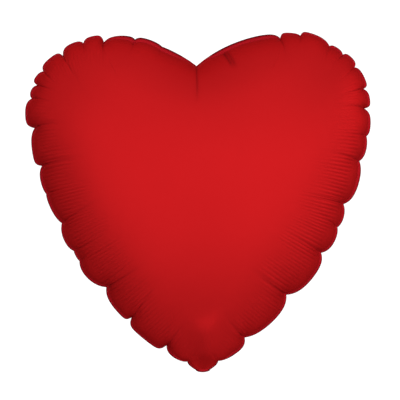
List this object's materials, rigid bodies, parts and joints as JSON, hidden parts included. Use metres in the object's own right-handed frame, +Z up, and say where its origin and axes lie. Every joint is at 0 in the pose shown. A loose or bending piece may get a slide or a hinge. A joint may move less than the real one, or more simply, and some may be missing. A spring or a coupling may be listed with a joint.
{
  "type": "heart-shaped foil balloon",
  "caption": "Filled heart-shaped foil balloon: two domed satin film panels sealed along a scalloped flat rim, with a filling tail folded up behind the tip.",
  "frame": {"origin": "middle of the fold at the heart's tip, in the plane of the seam", "axes": "+X across the heart to its right side as seen from the front, +Y through the domes to the back, +Z up to the lobes"},
  "size_m": [0.3807, 0.1599, 0.3721],
  "materials": {
    "satin_foil": "satin red metallised film with a soft, wide highlight",
    "sealed_edge": "darker red flat heat-sealed edge",
    "valve_film": "thin clear film"
  },
  "bodies": {
    "envelope": {"front_panel": "satin_foil", "back_panel": "satin_foil", "rim_seal": "sealed_edge", "valve_front_film": "valve_film", "valve_back_film": "valve_film"},
    "valve_flap": {"valve_flap_film": "valve_film"},
    "tail": {"tail_front_ply": "satin_foil", "tail_back_ply": "satin_foil", "tail_seal_left": "sealed_edge", "tail_seal_right": "sealed_edge", "tail_valve_front_film": "valve_film", "tail_valve_back_film": "valve_film"}
  },
  "joints": [
    {"name": "tail_fold", "type": "hinge", "parent": "envelope", "child": "tail", "pos_m": [0, 0.0014, 0], "axis": [-1, 0, 0], "range_deg": [0, 140]},
    {"name": "valve_flap", "type": "hinge", "parent": "envelope", "child": "valve_flap", "pos_m": [0, 0.00015, 0.017], "axis": [-1, 0, 0], "range_deg": [0, 6], "stiffness_Nm_per_rad": 0.0001}
  ]
}
